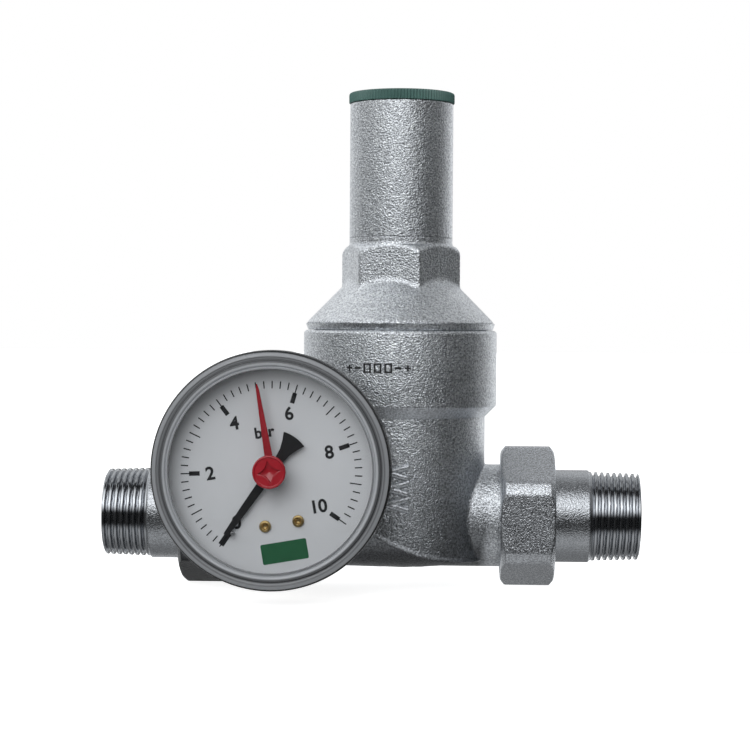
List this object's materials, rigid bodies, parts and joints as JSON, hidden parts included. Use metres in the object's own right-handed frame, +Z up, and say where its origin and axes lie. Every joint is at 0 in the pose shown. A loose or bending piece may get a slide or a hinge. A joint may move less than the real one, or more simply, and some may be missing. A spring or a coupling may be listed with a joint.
{
  "type": "pressure reducing valve",
  "caption": "Diaphragm pressure reducing valve with union pipe tails, a spring housing with adjuster cap, and a round back-entry pressure gauge.",
  "frame": {"origin": "where the pipe axis and the adjuster axis cross", "axes": "+X along the pipe axis towards the inlet, +Z up the adjuster axis towards the cap, the gauge faces -Y"},
  "size_m": [0.1589, 0.0914, 0.1463],
  "materials": {
    "blasted_nickel": "sand-blasted nickel plate, fine orange-peel grain",
    "polished_nickel": "turned and nickel plated, bright",
    "green_plastic": "moulded, satin",
    "brass": "machined",
    "steel": "drawn",
    "rubber": "matt moulded",
    "acetal": "moulded, satin",
    "fibre": "pressed fibre",
    "black_plastic": "moulded, satin",
    "dial_white": "matt white enamel with black print",
    "red_plastic": "moulded, translucent red",
    "clear_plastic": "clear moulded window"
  },
  "bodies": {
    "valve": {"body_casting": "blasted_nickel", "bell_housing": "blasted_nickel", "seat_cartridge": "acetal", "filter_screen": "steel", "nose_oring": "rubber", "flange_oring": "rubber", "diaphragm": "rubber", "thrust_washer": "acetal", "range_spring": "steel", "return_spring": "steel", "gauge_stem": "brass", "gauge_seal_washer": "fibre", "gauge_case": "black_plastic", "gauge_window": "clear_plastic", "gauge_dial": "dial_white", "dial_screw_1": "brass", "dial_screw_2": "brass", "dial_stop_pin": "steel", "bourdon_tube": "brass", "movement_frame": "brass", "hairspring": "steel"},
    "cap": {"adjuster_cap": "green_plastic"},
    "adjuster": {"adjusting_screw": "brass"},
    "spring_nut": {"spring_nut": "brass"},
    "regulating_group": {"valve_stem": "steel", "stem_nut": "steel", "obturator": "brass", "obturator_disc": "rubber", "balance_piston": "brass", "piston_oring": "rubber", "upper_diaphragm_plate": "brass", "lower_diaphragm_plate": "brass"},
    "pointer": {"pointer": "black_plastic", "pinion_arbor": "brass"},
    "sector": {"sector_gear": "brass"},
    "link": {"gauge_link": "steel"},
    "marker": {"marker_hand": "red_plastic", "marker_knob": "red_plastic"},
    "inlet_tail": {"inlet_tailpiece": "polished_nickel", "inlet_gasket": "fibre"},
    "outlet_tail": {"outlet_tailpiece": "polished_nickel", "outlet_gasket": "fibre"},
    "inlet_nut": {"inlet_union_nut": "blasted_nickel"},
    "outlet_nut": {"outlet_union_nut": "blasted_nickel"}
  },
  "joints": [
    {"name": "cap_lift", "type": "slide", "parent": "valve", "child": "cap", "axis": [0, 0, 1], "range_m": [0, 0.012]},
    {"name": "adjuster_turn", "type": "hinge", "parent": "valve", "child": "adjuster", "pos_m": [0, 0, 0.11], "axis": [0, 0, 1], "range_deg": [-1440, 1440]},
    {"name": "spring_nut_travel", "type": "slide", "parent": "valve", "child": "spring_nut", "axis": [0, 0, 1], "range_m": [-0.00605, 0.00605], "deforming": ["range_spring"]},
    {"name": "obturator_lift", "type": "slide", "parent": "valve", "child": "regulating_group", "axis": [0, 0, 1], "range_m": [0, 0.003], "deforming": ["return_spring", "diaphragm"]},
    {"name": "marker_turn", "type": "hinge", "parent": "valve", "child": "marker", "pos_m": [-0.03326, -0.056, 0.01655], "axis": [0, 1, 0], "range_deg": [-135, 135]},
    {"name": "sector_turn", "type": "hinge", "parent": "valve", "child": "sector", "pos_m": [-0.01554, -0.046, 0.01337], "axis": [0, 1, 0], "range_deg": [-33.75, 0], "stiffness_Nm_per_rad": 0.002},
    {"name": "pointer_turn", "type": "hinge", "parent": "valve", "child": "pointer", "pos_m": [-0.03326, -0.053, 0.01655], "axis": [0, 1, 0], "range_deg": [-0.5, 270.5]},
    {"name": "link_swing", "type": "hinge", "parent": "sector", "child": "link", "pos_m": [-0.00963, -0.045, 0.01439], "axis": [0, 1, 0], "range_deg": [-0.5, 34.5]},
    {"name": "inlet_tail_withdraw", "type": "slide", "parent": "valve", "child": "inlet_tail", "axis": [1, 0, 0], "range_m": [0, 0.02]},
    {"name": "outlet_tail_withdraw", "type": "slide", "parent": "valve", "child": "outlet_tail", "axis": [-1, 0, 0], "range_m": [0, 0.02]},
    {"name": "inlet_nut_turn", "type": "hinge", "parent": "inlet_tail", "child": "inlet_nut", "pos_m": [0.038, 0, 0], "axis": [1, 0, 0], "continuous": true},
    {"name": "outlet_nut_turn", "type": "hinge", "parent": "outlet_tail", "child": "outlet_nut", "pos_m": [-0.0566, 0, 0], "axis": [1, 0, 0], "continuous": true}
  ],
  "couplings": [
    {"joint": "spring_nut_travel", "follows": "adjuster_turn", "m_per_rad": 0.00023873},
    {"joint": "pointer_turn", "follows": "sector_turn", "ratio": -8},
    {"joint": "link_swing", "follows": "sector_turn", "ratio": -1}
  ]
}
